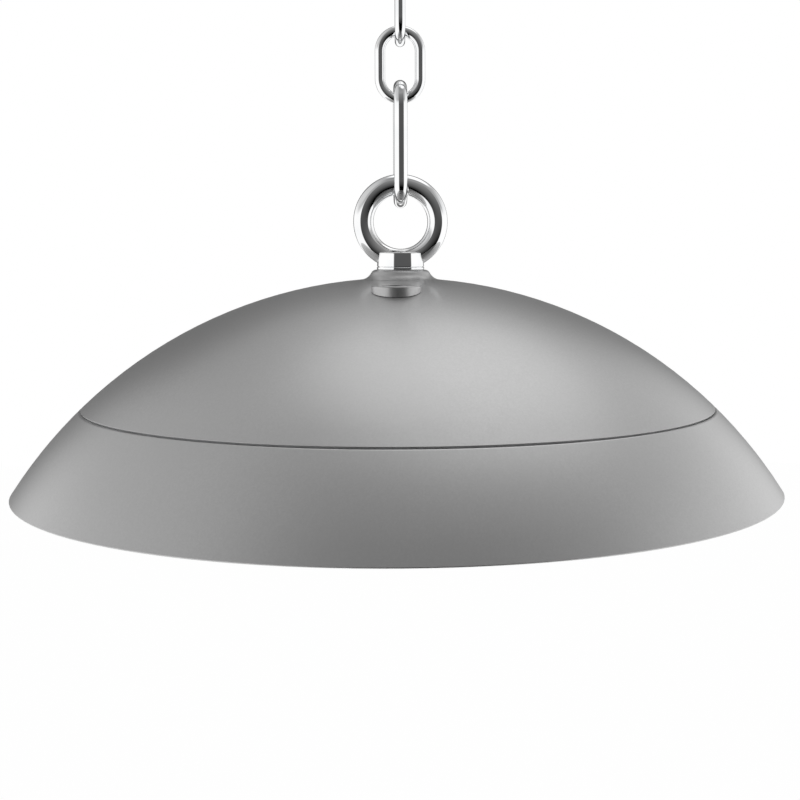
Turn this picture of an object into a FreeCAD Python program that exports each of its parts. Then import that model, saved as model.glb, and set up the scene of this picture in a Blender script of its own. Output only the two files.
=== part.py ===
import FreeCAD, Part

import math
import os

from FreeCAD import Rotation, Vector

# High bay light: a shallow dome of two shells on a short chain, with an LED engine in its mouth.
# All sizes are millimetres. The row frame has +Z up and its origin at the hang point, where the
# ceiling hook's wire bears inside the top link. The lamp's own pieces are drawn with height 0 at
# the rim of the dome, and save() drops them to their place under the chain.
# The front of the lamp faces -Y, the side of its cable entry.

# --- Chain ---
chain_wire = 5.8
chain_length = 43.8            # outside
chain_width = 28.6             # outside
long_wire = 7.5
long_length = 72.2
long_width = 29.0
long_twist = 4.2               # degrees that the long link hangs out of square
top_twist = 3.0
link_play = 0.2                # between a link and what it bears on

# --- Eye bolt, M12 ---
eye_section = 11.6             # the ring's bar
eye_opening = 31.0
eye_height = 52.9              # collar's foot to the ring's crown
collar_foot_radius = 13.5
collar_top_radius = 13.1
collar_height = 8.6
shank_radius = 5.95
shank_length = 25.0
eye_washer_thickness = 1.6
eye_washer_radius = 13.6

# --- Dome: both shells lie on one sphere ---
dome_radius = 261.4
rim_radius = 220.0
shell_wall = 2.5
skirt_wall = 2.0
seam_height = 47.1             # above the rim
seam_gap = 0.8
seam_edge = 0.5                # reach of the rounding on each shell's seam edge
neck_rise = 4.7                # neck's flat above the sphere's crown
neck_flat_radius = 13.9
neck_shoulder = 3.4            # convex radius
neck_sweep = 7.2               # concave radius down to the sphere
hub_radius = 24.0
hub_height = 114.0
stud_hole = 6.5

# --- Skirt and joint between the shells ---
flange_wall = 2.5
flange_inner_radius = 160.0
lip_wall = 2.0
lip_inner_radius = 213.0
lip_edge = 0.7
gasket_inner_radius = 174.0
gasket_recess = 1.6            # from the outside of the seam
housing_screw_count = 8
housing_screw_circle = 166.5
boss_radius = 5.5
boss_hole_depth = 5.3

# --- Heat sink ---
plate_radius = 173.3
plate_thickness = 4.0
fin_slots = 32
fin_inner_radius = 104.0
fin_outer_radius = 156.0
fin_height = 9.0
fin_thickness = 2.0
fin_free_sector = 20.0         # degrees each side of the front, left for the terminal block

# --- LED engine ---
board_radius = 122.0
board_thickness = 1.6
led_rings = ((1, 0.0), (6, 31.0), (12, 62.0), (18, 93.0))   # count, radius
led_side = 3.5
led_height = 0.7
board_screw_circle = 47.0
lens_wall = 3.0
lens_cup_radius = 127.0
lens_flange_radius = 143.0
lens_bulge_radius = 11.5
lens_bulge_height = 5.0
lens_dimple_radius = 3.0
lens_dimple_depth = 1.4
lens_gasket_thickness = 1.0
bezel_wall = 2.5
bezel_inner_radius = 129.0
bezel_step_radius = 145.0
bezel_outer_radius = 157.5
bezel_screw_count = 12
bezel_screw_circle = 152.8

# --- Driver ---
tray_sheet = 1.5
tray_length = 184.0
tray_deck_width = 56.0
tray_foot_width = 9.0
tray_height = 8.0
driver_length = 150.0
driver_width = 52.0
driver_height = 34.0
driver_corner = 4.0
cap_thickness = 4.0
cap_ear_length = 10.0
cap_ear_thickness = 3.0

# --- Terminal block and leads ---
terminal_centre_y = -125.0
terminal_size = (30.0, 20.0, 20.0)
terminal_pole_pitch = 10.0
mains_lead = 6.0
led_lead = 3.0
led_lead_x = 118.0
lead_height = 76.0             # at the driver's caps
terminal_lead_height = 62.7    # at the block's side
grommet_radius = 4.5

# --- Cable entry: an upright bush with an M20 thread below its head ---
entry_place_y = -54.0
entry_radius = 13.4
entry_top = 117.3              # level with the dome on its uphill side
entry_edge = 0.8
entry_gap = 0.2                # between the head and the dome
entry_thread_radius = 9.9
entry_thread_end = 96.0
entry_bore = 6.2
entry_pad_radius = 15.5
entry_pad_under = 107.6
entry_nut_height = 5.0
cable_radius = 5.0
seal_radius = 8.0
seal_length = 9.0
seal_sink = 0.4                # below the head's top

# --- Derived heights, above the rim ---
sphere_drop = math.sqrt(dome_radius**2 - rim_radius**2)
neck_top = dome_radius - sphere_drop + neck_rise
seam_low = seam_height - seam_gap / 2
seam_high = seam_height + seam_gap / 2
plate_under = seam_low
plate_top = plate_under + plate_thickness
board_under = plate_under - board_thickness
lens_flange_top = plate_under - lens_gasket_thickness
lens_cup_top = lens_flange_top - lens_wall
lens_under = lens_cup_top - lens_wall
deck_top = plate_top + tray_height
eye_foot = neck_top + eye_washer_thickness

# --- Derived heights, in the row frame ---
ring_radius = (eye_opening + eye_section) / 2
link_bore = chain_length - 2 * chain_wire
long_bore = long_length - 2 * long_wire
top_link_centre = -link_bore / 2
chain_link_centre = -link_bore + link_play - link_bore / 2
long_link_centre = -2 * link_bore + 2 * link_play - long_bore / 2
ring_centre = long_link_centre - long_bore / 2 + link_play - eye_opening / 2
lamp_drop = ring_centre + ring_radius + eye_section / 2 - eye_height - eye_foot


def save(name, shape, drop=lamp_drop):
    """Writes one node, moved from the lamp's heights to the row frame."""
    placed = shape.copy()
    placed.translate(Vector(0, 0, drop))
    placed.exportStep("parts/" + name + ".step")


def turned(start, *steps):
    """A solid of revolution about Z. A step is an end point, or (middle, end) of an arc."""
    edges = []
    here = Vector(start[0], 0, start[1])
    for step in steps + (start,):
        if isinstance(step[0], tuple):
            middle, end = (Vector(r, 0, z) for r, z in step)
            edges.append(Part.Arc(here, middle, end).toShape())
        else:
            end = Vector(step[0], 0, step[1])
            edges.append(Part.LineSegment(here, end).toShape())
        here = end
    return Part.Face(Part.Wire(edges)).revolve(Vector(), Vector(0, 0, 1), 360)


def cylinder(radius, low, high, x=0.0, y=0.0):
    return Part.makeCylinder(radius, high - low, Vector(x, y, low))


def block(x_size, y_size, low, high, x=0.0, y=0.0):
    return Part.makeBox(x_size, y_size, high - low, Vector(x - x_size / 2, y - y_size / 2, low))


def hexagon(across_flats, low, high):
    corner = across_flats / math.sqrt(3)
    points = [
        Vector(corner * math.cos(math.radians(60 * k)), corner * math.sin(math.radians(60 * k)), low)
        for k in range(7)
    ]
    return Part.Face(Part.makePolygon(points)).extrude(Vector(0, 0, high - low))


def around(radius, count, offset=0.0):
    """Points evenly spaced on a circle, with the first at the given angle."""
    angles = [math.radians(offset + 360 * k / count) for k in range(count)]
    return [(radius * math.cos(a), radius * math.sin(a)) for a in angles]


def cut_holes(shape, places, radius, low, high):
    return shape.cut(Part.makeCompound([cylinder(radius, low, high, x, y) for x, y in places]))


def dome_height(radius, depth=0.0):
    """Height of the sphere that lies this deep under the dome's skin."""
    return math.sqrt((dome_radius - depth) ** 2 - radius**2) - sphere_drop


def dome_width(height, depth=0.0):
    return math.sqrt((dome_radius - depth) ** 2 - (height + sphere_drop) ** 2)


def dome_arc(start_radius, end_radius, depth=0.0):
    """The (middle, end) of an arc of that sphere, for turned()."""
    sphere = dome_radius - depth
    middle = sphere * math.sin((math.asin(start_radius / sphere) + math.asin(end_radius / sphere)) / 2)
    return (
        (middle, dome_height(middle, depth)),
        (end_radius, dome_height(end_radius, depth)),
    )


def arc_step(centre, radius, start_angle, end_angle):
    """The (middle, end) of an arc given by its centre, with angles in degrees from +R to +Z."""
    step = []
    for angle in ((start_angle + end_angle) / 2, end_angle):
        a = math.radians(angle)
        step.append((centre[0] + radius * math.cos(a), centre[1] + radius * math.sin(a)))
    return tuple(step)


def soft_corner(before, corner, after, reach):
    """Start and (middle, end) of the arc that rounds a corner, reach being its length on each side."""
    tip = Vector(corner[0], corner[1], 0)
    back = (Vector(before[0], before[1], 0) - tip).normalize()
    ahead = (Vector(after[0], after[1], 0) - tip).normalize()
    half = back.getAngle(ahead) / 2
    shortfall = reach * math.tan(half) * (1 / math.sin(half) - 1)
    middle = tip + (back + ahead).normalize() * shortfall
    start = tip + back * reach
    end = tip + ahead * reach
    return (start.x, start.y), ((middle.x, middle.y), (end.x, end.y))


# --- Chain and eye bolt ---
def link(wire, length, width):
    """A round-wire link in the XZ plane, about its own centre: two legs and two half-circle bends."""
    bend = (width - wire) / 2
    leg = (length - width) / 2
    section = Part.Wire(Part.makeCircle(wire / 2, Vector(bend, 0, -leg), Vector(0, 0, 1)))
    path = Part.Wire([
        Part.LineSegment(Vector(bend, 0, -leg), Vector(bend, 0, leg)).toShape(),
        Part.Arc(Vector(bend, 0, leg), Vector(0, 0, leg + bend), Vector(-bend, 0, leg)).toShape(),
        Part.LineSegment(Vector(-bend, 0, leg), Vector(-bend, 0, -leg)).toShape(),
        Part.Arc(Vector(-bend, 0, -leg), Vector(0, 0, -leg - bend), Vector(bend, 0, -leg)).toShape(),
    ])
    return path.makePipeShell([section], True, False)


def edge_on(shape, twist):
    return shape.rotate(Vector(), Vector(0, 0, 1), 90 + twist)


def make_chain():
    chain = link(chain_wire, chain_length, chain_width)
    save("chain_link", chain, chain_link_centre)
    save("top_link", edge_on(chain.copy(), top_twist), top_link_centre)
    save("long_link", edge_on(link(long_wire, long_length, long_width), long_twist), long_link_centre)


def make_eye_bolt():
    """One forging: ring, tapered collar and shank."""
    centre = eye_foot + eye_height - eye_section / 2 - ring_radius
    ring = Part.makeTorus(ring_radius, eye_section / 2, Vector(0, 0, centre), Vector(0, 1, 0))
    ring = ring.cut(block(60, 60, eye_foot - 10, eye_foot))
    top = eye_foot + collar_height
    edge = 0.9
    foot_edge = 0.5
    collar = turned(
        (0, eye_foot - shank_length),
        (shank_radius - 1, eye_foot - shank_length),
        (shank_radius, eye_foot - shank_length + 1),
        (shank_radius, eye_foot),
        (collar_foot_radius - foot_edge, eye_foot),
        (collar_foot_radius, eye_foot + foot_edge),
        (collar_top_radius, top - edge),
        arc_step((collar_top_radius - edge, top - edge), edge, 0, 90),
        (0, top),
    )
    save("eye_bolt", collar.fuse(ring).removeSplitter())


def ring_washer(outer, inner, low, high, edge=0.3):
    return turned((inner, low), (outer - edge, low), (outer, low + edge),
                  (outer, high - edge), (outer - edge, high), (inner, high))


def make_hanger_hardware():
    save("eye_washer", ring_washer(eye_washer_radius, 6.2, neck_top, eye_foot))
    washer_low = hub_height - 2.5
    save("hub_washer", ring_washer(18.0, 6.2, washer_low, hub_height))
    nut = hexagon(19.0, washer_low - 10.0, washer_low)
    crown = turned((0, washer_low - 12), (9, washer_low - 12), (11.2, washer_low - 8.6),
                   (11.2, washer_low), (0, washer_low))
    save("lock_nut", nut.common(crown).cut(cylinder(6.0, washer_low - 12, washer_low)))


# --- Shells ---
def neck_steps():
    """The neck's outline: a convex shoulder, then a concave sweep that meets the sphere tangentially."""
    reach = neck_shoulder + neck_sweep
    shoulder_z = neck_top - neck_shoulder
    across = neck_flat_radius
    above = shoulder_z + sphere_drop
    span = math.hypot(across, above)
    share = ((dome_radius + neck_sweep) ** 2 - span**2 - reach**2) / (2 * reach * span)
    turn = math.degrees(math.atan2(across, above) + math.acos(share))
    a = math.radians(turn)
    sweep_centre = (across + reach * math.sin(a), shoulder_z + reach * math.cos(a))
    meet = math.degrees(math.atan2(sweep_centre[1] + sphere_drop, sweep_centre[0]))
    return (
        arc_step((across, shoulder_z), neck_shoulder, 90, 90 - turn),
        arc_step(sweep_centre, neck_sweep, 270 - turn, 180 + meet),
    )


def make_upper_dome():
    """Cast cap with its neck, hub, screw bosses and the cable entry's inner pad."""
    shoulder, sweep = neck_steps()
    edge = (dome_width(seam_high), seam_high)
    above = (dome_width(seam_high + 1), seam_high + 1)
    edge_start, edge_round = soft_corner(above, edge, (edge[0] - 1, seam_high), seam_edge)
    skin = turned(
        (stud_hole, neck_top),
        (neck_flat_radius, neck_top),
        shoulder,
        sweep,
        dome_arc(sweep[1][0], dome_width(edge_start[1])),
        edge_round,
        (dome_width(seam_high, shell_wall), seam_high),
        dome_arc(dome_width(seam_high, shell_wall), hub_radius, shell_wall),
        (hub_radius - 2, hub_height),
        (stud_hole, hub_height),
    )
    inside = Part.makeSphere(dome_radius - shell_wall / 2, Vector(0, 0, -sphere_drop))
    bosses = [
        cylinder(boss_radius, plate_top, plate_top + 20, x, y).common(inside)
        for x, y in around(housing_screw_circle, housing_screw_count, 22.5)
    ]
    pad = cylinder(entry_pad_radius, entry_pad_under, entry_top, 0, entry_place_y).common(inside)
    cap = skin.multiFuse(bosses + [pad])
    cap = cut_holes(cap, [(0, entry_place_y)], entry_thread_radius + 0.2, entry_pad_under, entry_top)
    cap = cut_holes(cap, around(housing_screw_circle, housing_screw_count, 22.5), 2.05,
                    plate_top, plate_top + boss_hole_depth)
    save("upper_dome", cap)


def make_lower_skirt():
    """Spun band with a flange under the seam and a lip turned in at the rim."""
    lip_mid = lip_wall / 2
    rim_corner = dome_width(lip_edge)
    flange_under = seam_low - flange_wall
    inner_top = dome_width(flange_under, skirt_wall)
    edge = (dome_width(seam_low), seam_low)
    below = (dome_width(seam_low - 1), seam_low - 1)
    edge_start, edge_round = soft_corner((edge[0] - 1, seam_low), edge, below, seam_edge)
    skirt = turned(
        (flange_inner_radius, seam_low),
        edge_start,
        edge_round,
        dome_arc(edge_round[1][0], rim_corner),
        arc_step((rim_corner - lip_edge, lip_edge), lip_edge, 0, -90),
        (lip_inner_radius + lip_mid, 0),
        arc_step((lip_inner_radius + lip_mid, lip_mid), lip_mid, -90, -270),
        (dome_width(lip_wall, skirt_wall), lip_wall),
        dome_arc(dome_width(lip_wall, skirt_wall), inner_top, skirt_wall),
        (flange_inner_radius, flange_under),
    )
    places = around(housing_screw_circle, housing_screw_count, 22.5)
    save("lower_skirt", cut_holes(skirt, places, 2.1, flange_under, seam_low))


def make_seam_gasket():
    """Thin flat ring pressed between the shells, set back to leave a fine dark groove."""
    outer = dome_width(seam_height) - gasket_recess
    save("seam_gasket", ring_washer(outer, gasket_inner_radius, seam_low, seam_high, 0.1))


def button_screw(shank, length, head, head_height, socket):
    """A socket button screw on +Z: its head hangs below height 0 and its shank stands above."""
    dome = turned((0, -head_height), (head * 0.55, -head_height),
                  ((head * 0.88, -head_height * 0.62), (head, 0)), (0, 0))
    shape = dome.fuse(cylinder(shank, 0, length))
    return shape.cut(hexagon(socket, -head_height, -head_height * 0.45))


def screw_group(screw, places, height):
    group = []
    for x, y in places:
        one = screw.copy()
        one.translate(Vector(x, y, height))
        group.append(one)
    return Part.makeCompound(group)


def upside_down(screw):
    return screw.copy().rotate(Vector(), Vector(1, 0, 0), 180)


# --- Heat sink and LED engine ---
led_places = [place for count, radius in led_rings for place in around(radius, count, 90)]
board_screw_places = around(board_screw_circle, 6, 30)
bezel_screw_places = around(bezel_screw_circle, bezel_screw_count, 15)
housing_screw_places = around(housing_screw_circle, housing_screw_count, 22.5)
tray_screw_places = [(x, y) for x in (-70, 70) for y in (-33, 33)]
terminal_screw_places = [(side * terminal_pole_pitch / 2, terminal_centre_y) for side in (-1, 1)]
ear_screw_places = [(side * (driver_length / 2 + cap_thickness + cap_ear_length / 2), y)
                    for side in (-1, 1) for y in (-16, 16)]


def fin(angle):
    length = fin_outer_radius - fin_inner_radius
    middle = (fin_inner_radius + fin_outer_radius) / 2
    shape = block(length, fin_thickness, plate_top - 1, plate_top + fin_height, middle)
    return shape.rotate(Vector(), Vector(0, 0, 1), angle)


def make_heat_sink():
    """Round plate that carries the LED board below and radial fins above."""
    pitch = 360 / fin_slots
    angles = [pitch * (k + 0.5) for k in range(fin_slots)]
    fins = [fin(a) for a in angles if abs(a - 270) > fin_free_sector]
    sink = cylinder(plate_radius, plate_under, plate_top).multiFuse(fins)
    blind = plate_under + plate_thickness - 0.6
    sink = cut_holes(sink, housing_screw_places, 2.1, plate_under, plate_top)
    sink = cut_holes(sink, bezel_screw_places + board_screw_places, 1.55, plate_under, blind)
    sink = cut_holes(sink, tray_screw_places + terminal_screw_places, 1.55, plate_under + 0.6, plate_top)
    sink = cut_holes(sink, [(led_lead_x, 0)], grommet_radius, plate_under, plate_top)
    save("heat_sink", sink)


def make_led_board():
    board = cylinder(board_radius, board_under, plate_under)
    board = cut_holes(board, board_screw_places, 1.6, board_under, plate_under)
    save("led_board", cut_holes(board, [(led_lead_x, 0)], led_lead / 2 + 0.3, board_under, plate_under))
    leds = [block(led_side, led_side, board_under - led_height, board_under, x, y) for x, y in led_places]
    save("led_packages", Part.makeCompound(leds))


def make_lens():
    """Clear cup whose floor bulges into one lens under each LED, with a dimple above it."""
    cup_inside = lens_cup_radius - lens_wall
    cup = turned(
        (0, lens_cup_top),
        (cup_inside, lens_cup_top),
        (cup_inside, lens_flange_top),
        (lens_flange_radius, lens_flange_top),
        (lens_flange_radius, lens_cup_top),
        (lens_cup_radius, lens_cup_top),
        (lens_cup_radius, lens_under),
        (0, lens_under),
    )
    ball = (lens_bulge_radius**2 + lens_bulge_height**2) / (2 * lens_bulge_height)
    ball_height = lens_under - lens_bulge_height + ball
    pit = (lens_dimple_radius**2 + lens_dimple_depth**2) / (2 * lens_dimple_depth)
    slab = block(2 * board_radius, 2 * board_radius, lens_under - lens_bulge_height, lens_under)
    bulges = [Part.makeSphere(ball, Vector(x, y, ball_height)).common(slab) for x, y in led_places]
    pit_height = lens_cup_top - lens_dimple_depth + pit
    pits = [Part.makeSphere(pit, Vector(x, y, pit_height)) for x, y in led_places]
    save("lens_plate", cup.multiFuse(bulges).cut(Part.makeCompound(pits)))
    save("lens_gasket", ring_washer(141.0, 131.0, lens_flange_top, plate_under, 0.2))


def make_bezel():
    """Stepped ring that clamps the lens flange to the plate."""
    foot = plate_under - bezel_wall
    lip = lens_cup_top - bezel_wall
    wall = bezel_step_radius + lens_wall
    soft = 0.8
    bezel = turned(
        (bezel_inner_radius, lens_cup_top),
        (bezel_step_radius, lens_cup_top),
        (bezel_step_radius, plate_under),
        (bezel_outer_radius, plate_under),
        (bezel_outer_radius, foot + soft),
        arc_step((bezel_outer_radius - soft, foot + soft), soft, 0, -90),
        (wall, foot),
        (wall, lip + soft),
        arc_step((wall - soft, lip + soft), soft, 0, -90),
        (bezel_inner_radius + soft, lip),
        arc_step((bezel_inner_radius + soft, lip + soft), soft, -90, -180),
    )
    save("bezel_ring", cut_holes(bezel, bezel_screw_places, 1.6, foot, plate_under))


def make_screws():
    m3 = button_screw(1.5, 5.4, 2.9, 1.7, 2.0)
    m4 = button_screw(2.0, 11.2, 3.8, 2.2, 2.5)
    top_m3 = upside_down(button_screw(1.5, 4.5, 2.9, 1.7, 2.0))
    block_m3 = upside_down(button_screw(1.5, 9.0, 2.6, 1.8, 2.0))
    ear_m3 = upside_down(button_screw(1.5, cap_ear_thickness + tray_sheet + 2, 2.9, 1.7, 2.0))
    save("housing_screws", screw_group(m4, housing_screw_places, seam_low - flange_wall))
    save("bezel_screws", screw_group(m3, bezel_screw_places, plate_under - bezel_wall))
    board_m3 = button_screw(1.5, 4.6, 2.9, 1.7, 2.0)
    save("board_screws", screw_group(board_m3, board_screw_places, board_under))
    save("tray_screws", screw_group(top_m3, tray_screw_places, plate_top + tray_sheet))
    save("driver_screws", screw_group(ear_m3, ear_screw_places, deck_top + cap_ear_thickness))
    save("terminal_screws", screw_group(block_m3, terminal_screw_places, plate_top + 6))


# --- Driver, terminal block and leads ---
def make_tray():
    """Folded hat channel that stands the driver off the plate."""
    half = tray_deck_width / 2
    t = tray_sheet
    outline = [
        (half + tray_foot_width, plate_top), (half + tray_foot_width, plate_top + t),
        (half, plate_top + t), (half, deck_top), (-half, deck_top), (-half, plate_top + t),
        (-half - tray_foot_width, plate_top + t), (-half - tray_foot_width, plate_top),
        (-half + t, plate_top), (-half + t, deck_top - t), (half - t, deck_top - t),
        (half - t, plate_top), (half + tray_foot_width, plate_top),
    ]
    points = [Vector(-tray_length / 2, y, z) for y, z in outline]
    tray = Part.Face(Part.makePolygon(points)).extrude(Vector(tray_length, 0, 0))
    tray = cut_holes(tray, tray_screw_places, 1.6, plate_top, plate_top + t)
    save("driver_tray", cut_holes(tray, ear_screw_places, 1.6, deck_top - t, deck_top))


def make_driver():
    low = deck_top
    high = deck_top + driver_height
    case = block(driver_length, driver_width, low, high)
    long_edges = [e for e in case.Edges if abs(e.BoundBox.XLength - driver_length) < 0.01]
    save("driver_case", case.makeFillet(driver_corner, long_edges))
    for name, side in (("driver_cap_input", -1), ("driver_cap_output", 1)):
        x = side * (driver_length + cap_thickness) / 2
        cap = block(cap_thickness, driver_width, low, high, x)
        edges = [e for e in cap.Edges if abs(e.BoundBox.XLength - cap_thickness) < 0.01]
        cap = cap.makeFillet(driver_corner, [e for e in edges if e.BoundBox.ZMin > high - 1])
        ear_x = side * (driver_length / 2 + cap_thickness + cap_ear_length / 2)
        cap = cap.fuse(block(cap_ear_length, driver_width - 8, low, low + cap_ear_thickness, ear_x))
        save(name, cut_holes(cap, ear_screw_places, 1.6, low, low + cap_ear_thickness))


def make_terminal_block():
    x_size, y_size, z_size = terminal_size
    top = plate_top + z_size
    body = block(x_size, y_size, plate_top, top, 0, terminal_centre_y)
    poles = [(k * terminal_pole_pitch, terminal_centre_y + y) for k in (-1, 0, 1) for y in (-6, 6)]
    body = cut_holes(body, poles, 2.2, top - 7, top)
    body = cut_holes(body, terminal_screw_places, 2.8, plate_top + 6, top)
    save("terminal_block", cut_holes(body, terminal_screw_places, 1.6, plate_top, plate_top + 6))


def lead(points, diameter):
    """A round lead along straight runs joined by tangent arcs, each as large as its runs allow."""
    route = [Vector(*p) for p in points]
    edges = []
    here = route[0]
    for before, corner, after in zip(route, route[1:], route[2:]):
        back = (before - corner).normalize()
        ahead = (after - corner).normalize()
        run = 0.45 * min((before - corner).Length, (after - corner).Length)
        half_turn = (math.pi - back.getAngle(ahead)) / 2
        radius = run / math.tan(half_turn)
        print("lead radius", round(radius, 1), "in diameters", round(radius / diameter, 1))
        bisector = (back + ahead).normalize()
        middle = corner + bisector * (radius / math.cos(half_turn) - radius)
        edges.append(Part.LineSegment(here, corner + back * run).toShape())
        edges.append(Part.Arc(corner + back * run, middle, corner + ahead * run).toShape())
        here = corner + ahead * run
    edges.append(Part.LineSegment(here, route[-1]).toShape())
    section = Part.Wire(Part.makeCircle(diameter / 2, route[0], route[1] - route[0]))
    tube = Part.Wire(edges).makePipeShell([section], True, False)
    expected = math.pi * (diameter / 2) ** 2 * sum(e.Length for e in edges)
    print("lead volume over section times length", round(tube.Volume / expected, 4))
    return tube


def make_leads():
    cap_face = driver_length / 2 + cap_thickness
    block_side = terminal_size[0] / 2
    input_route = [
        (-cap_face, 0, lead_height),
        (-120, 0, lead_height),
        (-120, -55, 73),
        (-84, -104, 67),
        (-46, terminal_centre_y, terminal_lead_height),
        (-block_side, terminal_centre_y, terminal_lead_height),
    ]
    output_route = [
        (cap_face, 0, lead_height),
        (led_lead_x, 0, lead_height),
        (led_lead_x, 0, board_under),
    ]
    save("input_lead", lead(input_route, mains_lead))
    save("led_lead", lead(output_route, led_lead))
    hole = led_lead / 2 + 0.05
    groove = grommet_radius - 0.05
    grommet = turned((hole, plate_under), (groove, plate_under), (groove, plate_top),
                     (groove + 1.5, plate_top), (groove + 1.2, plate_top + 1.6), (hole, plate_top + 1.6))
    grommet.translate(Vector(led_lead_x, 0, 0))
    save("lead_grommet", grommet)


# --- Cable entry ---
def make_entry():
    """Upright bush with a flat top, its rubber seal, and the lock nut inside the dome."""
    seal_under = entry_top - seal_sink - seal_length
    bush = turned(
        (entry_bore, entry_thread_end),
        (entry_thread_radius - 0.8, entry_thread_end),
        (entry_thread_radius, entry_thread_end + 0.8),
        (entry_thread_radius, entry_pad_under),
        (entry_radius, entry_pad_under),
        (entry_radius, entry_top - entry_edge),
        arc_step((entry_radius - entry_edge, entry_top - entry_edge), entry_edge, 0, 90),
        (seal_radius, entry_top),
        (seal_radius, seal_under),
        (entry_bore, seal_under),
    )
    seal = turned((cable_radius, seal_under), (seal_radius - 0.05, seal_under),
                  (seal_radius - 0.05, seal_under + seal_length), (cable_radius, seal_under + seal_length))
    nut_low = entry_pad_under - entry_nut_height
    nut = hexagon(26.0, nut_low, entry_pad_under)
    nut = nut.cut(cylinder(entry_thread_radius + 0.05, nut_low, entry_pad_under))
    for piece in (bush, seal, nut):
        piece.translate(Vector(0, entry_place_y, 0))
    skin = Part.makeSphere(dome_radius + entry_gap, Vector(0, 0, -sphere_drop))
    under = skin.cut(cylinder(entry_thread_radius, entry_thread_end, entry_top, 0, entry_place_y))
    save("entry_bush", bush.cut(under))
    save("entry_seal", seal)
    save("entry_locknut", nut)


os.makedirs("parts", exist_ok=True)
make_chain()
make_eye_bolt()
make_hanger_hardware()
make_upper_dome()
make_lower_skirt()
make_seam_gasket()
make_heat_sink()
make_led_board()
make_lens()
make_bezel()
make_screws()
make_tray()
make_driver()
make_terminal_block()
make_leads()
make_entry()
print("lamp drop", round(lamp_drop, 3), "ring centre", round(ring_centre, 3))
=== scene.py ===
import math

import bmesh
import bpy
from mathutils import Matrix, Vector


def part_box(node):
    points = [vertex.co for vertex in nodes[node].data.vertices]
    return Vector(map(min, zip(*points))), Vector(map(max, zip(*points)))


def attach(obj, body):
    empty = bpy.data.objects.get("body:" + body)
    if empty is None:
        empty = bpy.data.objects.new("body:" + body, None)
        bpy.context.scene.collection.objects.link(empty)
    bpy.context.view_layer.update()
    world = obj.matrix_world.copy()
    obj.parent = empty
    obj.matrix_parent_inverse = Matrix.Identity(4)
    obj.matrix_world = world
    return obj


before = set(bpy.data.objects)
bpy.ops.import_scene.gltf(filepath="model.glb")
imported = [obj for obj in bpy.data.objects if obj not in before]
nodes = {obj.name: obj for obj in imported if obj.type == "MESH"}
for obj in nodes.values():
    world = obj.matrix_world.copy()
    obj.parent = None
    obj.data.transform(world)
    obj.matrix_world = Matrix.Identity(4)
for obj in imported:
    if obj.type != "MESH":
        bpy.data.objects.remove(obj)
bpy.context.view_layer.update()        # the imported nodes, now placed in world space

scene = bpy.context.scene
scene.view_settings.view_transform = "Standard"
mm = 0.001

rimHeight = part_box("lower_skirt")[0].z                # the dome's mouth
ledRings = ((6, 31.0), (12, 62.0), (18, 93.0))        # LEDs on each ring, and its radius in mm


def linearColour(hexCode):
    # sRGB hex to the linear colour that the shaders want
    channels = [int(hexCode[i:i + 2], 16) / 255 for i in (1, 3, 5)]
    linear = [c / 12.92 if c <= 0.04045 else ((c + 0.055) / 1.055) ** 2.4 for c in channels]
    return (*linear, 1.0)


def addNode(tree, kind, settings=None):
    # A text key is a property or a named input, and a number is an input by its place.
    # A socket is linked to its input, and anything else is set. In a Mix node the factor is
    # input 0, two numbers are 2 and 3, and two colours are 6 and 7.
    node = tree.nodes.new(kind)
    for key, value in (settings or {}).items():
        if isinstance(value, bpy.types.NodeSocket):
            tree.links.new(value, node.inputs[key])
        elif isinstance(key, str) and hasattr(node, key):
            setattr(node, key, value)
        else:
            node.inputs[key].default_value = value
    return node


def startMaterial(name):
    material = bpy.data.materials.new(name)
    material.use_nodes = True
    tree = material.node_tree
    tree.nodes.clear()
    shader = addNode(tree, "ShaderNodeBsdfPrincipled")
    addNode(tree, "ShaderNodeOutputMaterial", {"Surface": shader.outputs["BSDF"]})
    place = addNode(tree, "ShaderNodeTexCoord").outputs["Object"]        # metres, in the lamp's frame
    return material, tree, shader, place


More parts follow.
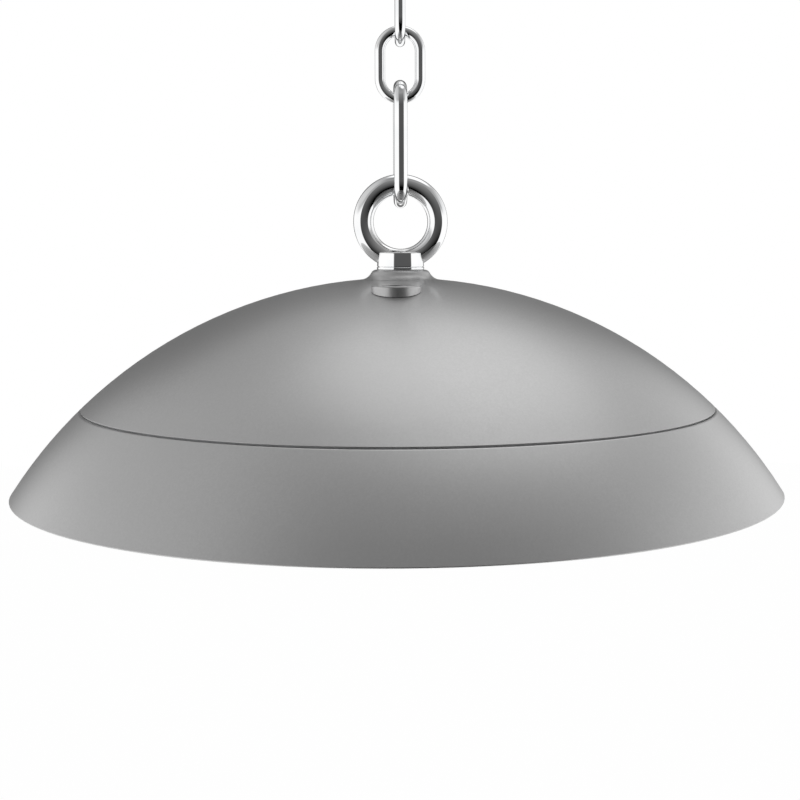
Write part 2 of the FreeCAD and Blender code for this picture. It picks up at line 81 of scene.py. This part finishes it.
# What every plain finish below is made of. Sizes are in millimetres.
# patch: broad change of tone from colour to shade. grain: fine relief, with its depth.
# stretch: how much longer the grain runs along X, as left by a brush or a die.
finishes = {
    # chrome plate over a polished forging: a mirror with the faintest haze from handling
    "polishedChrome": {
        "colour": "#F2F2F2", "shade": "#E9EAEB", "patch": 18, "metallic": 1.0,
        "roughness": (0.01, 0.03), "grain": 5, "depth": 0.0004,
    },
    # bright zinc plate: greyer and softer than chrome, slightly blotchy
    "zincPlate": {
        "colour": "#C9CACB", "shade": "#B4B6B8", "patch": 4, "metallic": 1.0,
        "roughness": (0.22, 0.34), "grain": 0.6, "depth": 0.004,
    },
    # die-cast aluminium: matt grey with a fine sandy skin
    "castAluminium": {
        "colour": "#B9BABB", "shade": "#A3A5A7", "patch": 22, "metallic": 1.0,
        "roughness": (0.42, 0.55), "grain": 0.9, "depth": 0.02,
    },
    # satin anodised extrusion: even grey with fine lines along its length
    "anodisedAluminium": {
        "colour": "#BFC1C3", "shade": "#B2B4B6", "patch": 30, "metallic": 1.0,
        "roughness": (0.3, 0.38), "grain": 0.5, "depth": 0.006, "stretch": 40,
    },
    # zinc-coated sheet: dull with faint rolling lines
    "galvanisedSheet": {
        "colour": "#B3B6B8", "shade": "#9FA3A6", "patch": 9, "metallic": 1.0,
        "roughness": (0.34, 0.46), "grain": 0.8, "depth": 0.006, "stretch": 12,
    },
    # moulded silicone: black, soft, with a dusty bloom
    "blackSilicone": {
        "colour": "#1B1B1C", "shade": "#242526", "patch": 6, "metallic": 0.0,
        "roughness": (0.55, 0.7), "grain": 0.7, "depth": 0.012,
    },
    # undyed silicone of the seam: in its narrow slot it reads as a mid grey line
    "paleSilicone": {
        "colour": "#BEBFC0", "shade": "#B2B3B4", "patch": 9, "metallic": 0.0,
        "roughness": (0.6, 0.75), "grain": 0.7, "depth": 0.012,
    },
    # moulded white nylon of a terminal block: warm white with a low satin gloss
    "whiteNylon": {
        "colour": "#E4E3DE", "shade": "#DAD9D3", "patch": 7, "metallic": 0.0,
        "roughness": (0.4, 0.5), "grain": 0.5, "depth": 0.008,
    },
    # extruded PVC sheath: black, smooth, faint draw lines
    "pvcSheath": {
        "colour": "#222324", "shade": "#2B2C2D", "patch": 5, "metallic": 0.0,
        "roughness": (0.38, 0.48), "grain": 0.6, "depth": 0.006,
    },
    # fired ceramic of the LEDs' bodies: clean warm white, slightly glossy
    "whiteCeramic": {
        "colour": "#ECEBE6", "shade": "#E4E2DB", "patch": 2, "metallic": 0.0,
        "roughness": (0.3, 0.4), "grain": 0.3, "depth": 0.003,
    },
    # reflowed tin: bright, smooth, slightly grey
    "solderTin": {
        "colour": "#D2D4D6", "shade": "#BFC2C5", "patch": 1.5, "metallic": 1.0,
        "roughness": (0.18, 0.28), "grain": 0.4, "depth": 0.003,
    },
    # phosphor in clear silicone: a wet yellow bead
    "yellowPhosphor": {
        "colour": "#E8C84A", "shade": "#DDB93A", "patch": 1.2, "metallic": 0.0,
        "roughness": (0.12, 0.2), "grain": 0.3, "depth": 0.002,
    },
}
patchSpan = (0.35, 0.65)        # the part of the noise over which shade turns into colour


def makeFinish(name, look):
    material, tree, shader, place = startMaterial(name)
    patch = addNode(tree, "ShaderNodeTexNoise", {
        "Scale": 1 / (look["patch"] * mm), "Detail": 3.0, "Vector": place})
    tones = addNode(tree, "ShaderNodeValToRGB", {"Fac": patch.outputs["Fac"]})
    tones.color_ramp.elements[0].position = patchSpan[0]
    tones.color_ramp.elements[0].color = linearColour(look["shade"])
    tones.color_ramp.elements[1].position = patchSpan[1]
    tones.color_ramp.elements[1].color = linearColour(look["colour"])
    lines = addNode(tree, "ShaderNodeMapping", {
        "Scale": (1 / look.get("stretch", 1), 1, 1), "Vector": place})
    grain = addNode(tree, "ShaderNodeTexNoise", {
        "Scale": 1 / (look["grain"] * mm), "Detail": 2.0, "Vector": lines.outputs["Vector"]})
    gloss = addNode(tree, "ShaderNodeMapRange", {
        "To Min": look["roughness"][0], "To Max": look["roughness"][1], "Value": grain.outputs["Fac"]})
    relief = addNode(tree, "ShaderNodeBump", {
        "Distance": look["depth"] * mm, "Strength": 1.0, "Height": grain.outputs["Fac"]})
    shader.inputs["Metallic"].default_value = look["metallic"]
    tree.links.new(tones.outputs["Color"], shader.inputs["Base Color"])
    tree.links.new(gloss.outputs["Result"], shader.inputs["Roughness"])
    tree.links.new(relief.outputs["Normal"], shader.inputs["Normal"])
    return material


# Silver metallic lacquer under a thin satin clear coat, sprayed: a soft grey sheen that glows
# where a softbox meets it, with a fine grain of flakes. flakeTilt: how far the flakes vary the
# roughness. peel: the faint waves of a sprayed coat, with their depth.
lacquer = {
    "colour": "#C0C0C0", "shade": "#BBBBBB", "patch": 60, "metallic": 1.0, "roughness": 0.42,
    "flake": 0.9, "sparkle": 0.12,        # real flakes are 0.03 mm, drawn larger so that they show
    "flakeTilt": 0.05, "peel": 5.0, "peelDepth": 0.0012, "coat": 0.4, "coatRoughness": 0.17,
}


def makeLacquer(name, look):
    material, tree, shader, place = startMaterial(name)
    patch = addNode(tree, "ShaderNodeTexNoise", {"Scale": 1 / (look["patch"] * mm), "Vector": place})
    flakes = addNode(tree, "ShaderNodeTexVoronoi", {"Scale": 1 / (look["flake"] * mm), "Vector": place})
    flakeTone = addNode(tree, "ShaderNodeRGBToBW", {"Color": flakes.outputs["Color"]})
    sparkle = addNode(tree, "ShaderNodeMix", {
        "data_type": "RGBA", "blend_type": "SOFT_LIGHT", 0: look["sparkle"],
        6: linearColour(look["colour"]), 7: flakeTone.outputs[0]})
    tones = addNode(tree, "ShaderNodeMix", {
        "data_type": "RGBA", 0: patch.outputs["Fac"], 6: sparkle.outputs[2],
        7: linearColour(look["shade"])})
    glints = addNode(tree, "ShaderNodeMapRange", {
        "To Min": look["roughness"] - look["flakeTilt"], "To Max": look["roughness"] + look["flakeTilt"],
        "Value": flakes.outputs["Distance"]})
    peel = addNode(tree, "ShaderNodeTexNoise", {
        "Scale": 1 / (look["peel"] * mm), "Detail": 1.0, "Vector": place})
    wave = addNode(tree, "ShaderNodeBump", {
        "Distance": look["peelDepth"] * mm, "Height": peel.outputs["Fac"]})
    shader.inputs["Metallic"].default_value = look["metallic"]
    shader.inputs["Coat Weight"].default_value = look["coat"]
    shader.inputs["Coat Roughness"].default_value = look["coatRoughness"]
    tree.links.new(tones.outputs[2], shader.inputs["Base Color"])
    tree.links.new(glints.outputs["Result"], shader.inputs["Roughness"])
    tree.links.new(wave.outputs["Normal"], shader.inputs["Normal"])
    tree.links.new(wave.outputs["Normal"], shader.inputs["Coat Normal"])
    return material


# Injection-moulded polycarbonate, polished on both sides: clear, with the faintest flow marks.
clearLens = {"colour": "#F4F8FA", "ior": 1.585, "roughness": (0.01, 0.05), "grain": 6, "depth": 0.0008}


def makeClearPolycarbonate(name, look):
    material, tree, shader, place = startMaterial(name)
    flow = addNode(tree, "ShaderNodeTexNoise", {"Scale": 1 / (look["grain"] * mm), "Vector": place})
    gloss = addNode(tree, "ShaderNodeMapRange", {
        "To Min": look["roughness"][0], "To Max": look["roughness"][1], "Value": flow.outputs["Fac"]})
    wave = addNode(tree, "ShaderNodeBump", {
        "Distance": look["depth"] * mm, "Height": flow.outputs["Fac"]})
    shader.inputs["Base Color"].default_value = linearColour(look["colour"])
    shader.inputs["IOR"].default_value = look["ior"]
    shader.inputs["Transmission Weight"].default_value = 1.0
    tree.links.new(gloss.outputs["Result"], shader.inputs["Roughness"])
    tree.links.new(wave.outputs["Normal"], shader.inputs["Normal"])
    return material


# White solder mask over copper: a glossy board whose tracks show as a faint warmer relief.
# A track runs under each ring of LEDs, and the mask flows over its edge in a soft shoulder.
solderMask = {
    "colour": "#EDEDE9", "trace": "#DCD8CB", "trackRings": [radius for count, radius in ledRings],
    "trackHalfWidth": 1.6, "shoulder": 0.5, "roughness": 0.28, "depth": 0.035,
}


def makeSolderMask(name, look):
    material, tree, shader, place = startMaterial(name)
    flat = addNode(tree, "ShaderNodeVectorMath", {"operation": "MULTIPLY", 0: place, 1: (1, 1, 0)})
    reach = addNode(tree, "ShaderNodeVectorMath", {"operation": "LENGTH", 0: flat.outputs[0]})
    track = 0.0        # 1 on the copper and 0 off it
    for ring in look["trackRings"]:
        offset = addNode(tree, "ShaderNodeMath", {
            "operation": "SUBTRACT", 0: reach.outputs["Value"], 1: ring * mm})
        away = addNode(tree, "ShaderNodeMath", {"operation": "ABSOLUTE", 0: offset.outputs[0]})
        edge = addNode(tree, "ShaderNodeMapRange", {
            "interpolation_type": "SMOOTHSTEP", "From Min": look["trackHalfWidth"] * mm,
            "From Max": (look["trackHalfWidth"] + look["shoulder"]) * mm, "To Min": 1.0, "To Max": 0.0,
            "Value": away.outputs[0]})
        both = addNode(tree, "ShaderNodeMath", {
            "operation": "MAXIMUM", 0: track, 1: edge.outputs["Result"]})
        track = both.outputs[0]
    tones = addNode(tree, "ShaderNodeMix", {
        "data_type": "RGBA", 0: track, 6: linearColour(look["colour"]), 7: linearColour(look["trace"])})
    relief = addNode(tree, "ShaderNodeBump", {"Distance": look["depth"] * mm, "Height": track})
    shader.inputs["Roughness"].default_value = look["roughness"]
    tree.links.new(tones.outputs[2], shader.inputs["Base Color"])
    tree.links.new(relief.outputs["Normal"], shader.inputs["Normal"])
    return material


materials = {name: makeFinish(name, look) for name, look in finishes.items()}
materials["silverLacquer"] = makeLacquer("silverLacquer", lacquer)
materials["clearPolycarbonate"] = makeClearPolycarbonate("clearPolycarbonate", clearLens)
materials["solderMask"] = makeSolderMask("solderMask", solderMask)
print("materials made:", len(materials))

finishOf = {
    "polishedChrome": ("top_link", "chain_link", "long_link", "eye_bolt", "eye_washer"),
    "silverLacquer": ("upper_dome", "lower_skirt", "bezel_ring", "entry_bush"),
    "zincPlate": ("hub_washer", "lock_nut", "entry_locknut", "housing_screws", "board_screws",
                  "bezel_screws", "tray_screws", "driver_screws", "terminal_screws"),
    "paleSilicone": ("seam_gasket",),
    "blackSilicone": ("lens_gasket", "entry_seal", "lead_grommet"),
    "castAluminium": ("heat_sink",),
    "anodisedAluminium": ("driver_case",),
    "galvanisedSheet": ("driver_tray", "driver_cap_input", "driver_cap_output"),
    "whiteNylon": ("terminal_block",),
    "pvcSheath": ("input_lead", "led_lead"),
    "clearPolycarbonate": ("lens_plate",),
    "solderMask": ("led_board",),
    "whiteCeramic": ("led_packages",),
}


def dressNodes():
    for finish, names in finishOf.items():
        for name in names:
            nodes[name].data.materials.clear()
            nodes[name].data.materials.append(materials[finish])


dressNodes()
print("CAD nodes dressed")

# One LED in the middle of the board, and each ring of them starting at the back.
ledPlaces = [(0.0, 0.0)]
for count, radius in ledRings:
    for k in range(count):
        turn = math.radians(90 + 360 * k / count)
        ledPlaces.append((radius * math.cos(turn), radius * math.sin(turn)))


def addPiece(name, form, finish):
    mesh = bpy.data.meshes.new(name)
    bmesh.ops.recalc_face_normals(form, faces=form.faces)
    form.to_mesh(mesh)
    form.free()
    mesh.materials.append(materials[finish])
    piece = bpy.data.objects.new(name, mesh)
    scene.collection.objects.link(piece)
    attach(piece, "luminaire")


# The bead of phosphor on each LED, in millimetres. It hangs below the white body and stays off
# the lens. sink: how far inside the body its rim starts.
ledBead = {"radius": 1.35, "depth": 0.55, "sink": 0.05, "sides": 20, "rings": 4}


def makeLedBeads(look):
    form = bmesh.new()
    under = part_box("led_packages")[0].z
    for x, y in ledPlaces:
        rows = []
        for k in range(look["rings"]):
            slope = math.radians(90 * k / look["rings"])
            reach = look["radius"] * math.cos(slope) * mm
            drop = (look["sink"] - (look["depth"] + look["sink"]) * math.sin(slope)) * mm
            row = []
            for side in range(look["sides"]):
                turn = 2 * math.pi * side / look["sides"]
                point = (x * mm + reach * math.cos(turn), y * mm + reach * math.sin(turn), under + drop)
                row.append(form.verts.new(point))
            rows.append(row)
        tip = form.verts.new((x * mm, y * mm, under - look["depth"] * mm))
        for upper, lower in zip(rows, rows[1:]):
            for side in range(look["sides"]):
                after = (side + 1) % look["sides"]
                form.faces.new((upper[side], upper[after], lower[after], lower[side])).smooth = True
        for side in range(look["sides"]):
            form.faces.new((rows[-1][side], rows[-1][(side + 1) % look["sides"]], tip)).smooth = True
        form.faces.new(rows[0])
    addPiece("led_beads", form, "yellowPhosphor")


# Solder fillets along two sides of each LED: wedges that are tall against it, and a little
# shorter and much thinner at their outer edge. from: where they start, out from its middle, in mm
# as the sizes are. outerLength and outerHeight: the share of each that the outer edge keeps.
solder = {
    "length": 2.8, "width": 0.75, "height": 0.28, "from": 1.7, "outerLength": 0.9, "outerHeight": 0.15,
}


def makeSolder(look):
    form = bmesh.new()
    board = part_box("led_board")[0].z
    near, far = look["from"] * mm, (look["from"] + look["width"]) * mm
    half, tall = look["length"] / 2 * mm, look["height"] * mm
    outerHalf, outerTall = half * look["outerLength"], tall * look["outerHeight"]
    wedge = ((near, -half, 0), (near, half, 0), (far, outerHalf, 0), (far, -outerHalf, 0),
             (near, -half, -tall), (near, half, -tall),
             (far, outerHalf, -outerTall), (far, -outerHalf, -outerTall))
    faces = ((0, 1, 2, 3), (4, 5, 6, 7), (0, 1, 5, 4), (1, 2, 6, 5), (2, 3, 7, 6), (3, 0, 4, 7))
    for x, y in ledPlaces:
        for side in (-1, 1):
            corners = [form.verts.new((x * mm + side * a, y * mm + b, board + c)) for a, b, c in wedge]
            for face in faces:
                form.faces.new([corners[i] for i in face])
    addPiece("led_solder", form, "solderTin")


makeLedBeads(ledBead)
makeSolder(solder)
print("LED detail added")

# A little to the right of the lamp and just above its neck, looking slightly down, with its
# picture shifted back to the middle. The lens and sensor are millimetres, other lengths metres.
camera = {
    "lens": 63.713, "sensor": 36.0, "shift": -0.0757, "clip": (0.01, 60.0),
    "aside": 0.03478, "distance": 0.82054, "aboveRim": 0.14088,
    "pitch": 6.37, "roll": 0.115,        # degrees
}


def makeCamera(look):
    data = bpy.data.cameras.new("camera")
    data.lens = look["lens"]
    data.sensor_width = look["sensor"]
    data.shift_x = look["shift"]
    data.clip_start, data.clip_end = look["clip"]
    eye = bpy.data.objects.new("camera", data)
    scene.collection.objects.link(eye)
    eye.location = (look["aside"], -look["distance"], rimHeight + look["aboveRim"])
    tilt = Matrix.Rotation(math.radians(90 - look["pitch"]), 4, "X")
    roll = Matrix.Rotation(math.radians(look["roll"]), 4, "Z")
    eye.rotation_euler = (tilt @ roll).to_euler()
    scene.camera = eye


makeCamera(camera)

# Matt white floor paint on a wide floor, far enough below that the lamp's shadow is soft.
# drop: metres below the rim. whiteness: how much of it is plain white to the eye.
floor = {
    "drop": 1.35, "radius": 9.0, "sides": 96, "colour": "#F6F6F6", "whiteness": 0.985,
    "roughness": (0.75, 0.9), "grain": 3,
}


def makeFloor(look):
    mesh = bpy.data.meshes.new("floor")
    form = bmesh.new()
    bmesh.ops.create_circle(form, cap_ends=True, segments=look["sides"], radius=look["radius"])
    form.to_mesh(mesh)
    form.free()
    plane = bpy.data.objects.new("floor", mesh)
    scene.collection.objects.link(plane)
    plane.location.z = rimHeight - look["drop"]
    material, tree, shader, place = startMaterial("mattFloorPaint")
    grain = addNode(tree, "ShaderNodeTexNoise", {"Scale": 1 / (look["grain"] * mm), "Vector": place})
    gloss = addNode(tree, "ShaderNodeMapRange", {
        "To Min": look["roughness"][0], "To Max": look["roughness"][1], "Value": grain.outputs["Fac"]})
    shader.inputs["Base Color"].default_value = linearColour(look["colour"])
    tree.links.new(gloss.outputs["Result"], shader.inputs["Roughness"])
    # the eye, mirrors and glass see it nearly white, and the rest of it still takes the shadow
    ray = addNode(tree, "ShaderNodeLightPath")
    mirror = addNode(tree, "ShaderNodeMath", {
        "operation": "MAXIMUM", 0: ray.outputs["Is Camera Ray"], 1: ray.outputs["Is Glossy Ray"]})
    seen = addNode(tree, "ShaderNodeMath", {
        "operation": "MAXIMUM", 0: mirror.outputs[0], 1: ray.outputs["Is Transmission Ray"]})
    share = addNode(tree, "ShaderNodeMath", {
        "operation": "MULTIPLY", 0: seen.outputs[0], 1: look["whiteness"]})
    glow = addNode(tree, "ShaderNodeEmission", {"Strength": 1.0})
    mix = addNode(tree, "ShaderNodeMixShader", {
        0: share.outputs[0], 1: shader.outputs["BSDF"], 2: glow.outputs["Emission"]})
    tree.links.new(mix.outputs[0], tree.nodes["Material Output"].inputs["Surface"])
    mesh.materials.append(material)
    plane.visible_glossy = False        # the studio's lower half stands for it in the metal


makeFloor(floor)
print("camera and floor placed")

# The studio as the lamp's metal sees it: white walls, a grey ceiling that is dimmer above the
# camera, a paler corner on the left, a dark flag behind the lamp, a dark room behind the camera
# and a large softbox overhead. Bearings are degrees to the right of straight behind the lamp, and
# heights are degrees above the horizon. Each patch lies over the ones before it. soft: the width
# of a band's blurred sides, then of its top and bottom. tones: at its lowest and its highest.
wallTone = 1.15
studio = {
    "ceiling": {"bearing": 0, "halfWidth": 400, "height": (29, 160), "soft": (1, 46),
                "tones": (0.48, 0.48)},        # wide enough to go all round
    "greyAboveCamera": {"bearing": 180, "halfWidth": 84, "height": (15, 110), "soft": (20, 14),
                        "tones": (0.5, 0.2)},
    "paleLeftCorner": {"bearing": -88, "halfWidth": 38, "height": (18, 62), "soft": (30, 24),
                       "tones": (0.75, 0.62)},
    "blackFlagBehindLamp": {"bearing": -8, "halfWidth": 34, "height": (-12, 36), "soft": (24, 16),
                            "tones": (0.12, 0.12)},
    "darkBehindCamera": {"bearing": 167, "halfWidth": 44, "height": (-100, 52), "soft": (5, 14),
                         "tones": (-0.3, 0.28)},
    "overheadSoftbox": {"bearing": 27, "tilt": 69, "radius": 26, "soft": 10, "tone": 1.28},
}


def addBand(tree, direction, height, look):
    # how far the band covers what lies behind it, 0 to 1, and its tone
    turned = addNode(tree, "ShaderNodeVectorRotate", {
        "rotation_type": "Z_AXIS", "Angle": math.radians(look["bearing"]), "Vector": direction})
    flat = addNode(tree, "ShaderNodeSeparateXYZ", {0: turned.outputs[0]})
    bearing = addNode(tree, "ShaderNodeMath", {
        "operation": "ARCTAN2", 0: flat.outputs["X"], 1: flat.outputs["Y"]})
    aside = addNode(tree, "ShaderNodeMath", {"operation": "DEGREES", 0: bearing.outputs[0]})
    low, high = look["height"]
    above = addNode(tree, "ShaderNodeMath", {"operation": "SUBTRACT", 0: height, 1: (low + high) / 2})
    inside = []
    for offset, half, soft in ((aside, look["halfWidth"], look["soft"][0]),
                               (above, (high - low) / 2, look["soft"][1])):
        away = addNode(tree, "ShaderNodeMath", {"operation": "ABSOLUTE", 0: offset.outputs[0]})
        edge = addNode(tree, "ShaderNodeMapRange", {
            "interpolation_type": "SMOOTHSTEP", "From Min": half - soft / 2, "From Max": half + soft / 2,
            "To Min": 1.0, "To Max": 0.0, "Value": away.outputs[0]})
        inside.append(edge.outputs["Result"])
    mask = addNode(tree, "ShaderNodeMath", {"operation": "MULTIPLY", 0: inside[0], 1: inside[1]})
    tone = addNode(tree, "ShaderNodeMapRange", {
        "From Min": low, "From Max": high, "To Min": look["tones"][0], "To Max": look["tones"][1],
        "Value": height})
    return mask.outputs[0], tone.outputs["Result"]


def addDisc(tree, direction, look):
    # how far the disc covers what lies behind it, 0 to 1, and its tone
    turn, rise = math.radians(look["bearing"]), math.radians(look["tilt"])
    centre = (math.sin(turn) * math.cos(rise), math.cos(turn) * math.cos(rise), math.sin(rise))
    toward = addNode(tree, "ShaderNodeVectorMath", {"operation": "DOT_PRODUCT", 0: direction, 1: centre})
    angle = addNode(tree, "ShaderNodeMath", {"operation": "ARCCOSINE", 0: toward.outputs["Value"]})
    away = addNode(tree, "ShaderNodeMath", {"operation": "DEGREES", 0: angle.outputs[0]})
    mask = addNode(tree, "ShaderNodeMapRange", {
        "interpolation_type": "SMOOTHSTEP", "From Min": look["radius"] - look["soft"] / 2,
        "From Max": look["radius"] + look["soft"] / 2, "To Min": 1.0, "To Max": 0.0,
        "Value": away.outputs[0]})
    return mask.outputs["Result"], look["tone"]


def makeWorld():
    sky = bpy.data.worlds.new("studio")
    scene.world = sky
    sky.use_nodes = True
    tree = sky.node_tree
    tree.nodes.clear()
    direction = addNode(tree, "ShaderNodeTexCoord").outputs["Generated"]
    upward = addNode(tree, "ShaderNodeSeparateXYZ", {0: direction})
    rise = addNode(tree, "ShaderNodeMath", {"operation": "ARCSINE", 0: upward.outputs["Z"]})
    height = addNode(tree, "ShaderNodeMath", {"operation": "DEGREES", 0: rise.outputs[0]})
    tone = wallTone
    for look in studio.values():
        if "tilt" in look:
            mask, patchTone = addDisc(tree, direction, look)
        else:
            mask, patchTone = addBand(tree, direction, height.outputs[0], look)
        layer = addNode(tree, "ShaderNodeMix", {0: mask, 2: tone, 3: patchTone})
        tone = layer.outputs[0]
    # the eye and clear plastic see plain white, and no patch is darker than black
    ray = addNode(tree, "ShaderNodeLightPath")
    seen = addNode(tree, "ShaderNodeMath", {
        "operation": "MAXIMUM", 0: ray.outputs["Is Camera Ray"], 1: ray.outputs["Is Transmission Ray"]})
    strength = addNode(tree, "ShaderNodeMath", {"operation": "MAXIMUM", 0: tone, 1: seen.outputs[0]})
    backdrop = addNode(tree, "ShaderNodeBackground", {
        "Color": (1, 1, 1, 1), "Strength": strength.outputs[0]})
    addNode(tree, "ShaderNodeOutputWorld", {"Surface": backdrop.outputs[0]})


makeWorld()
print("studio set")
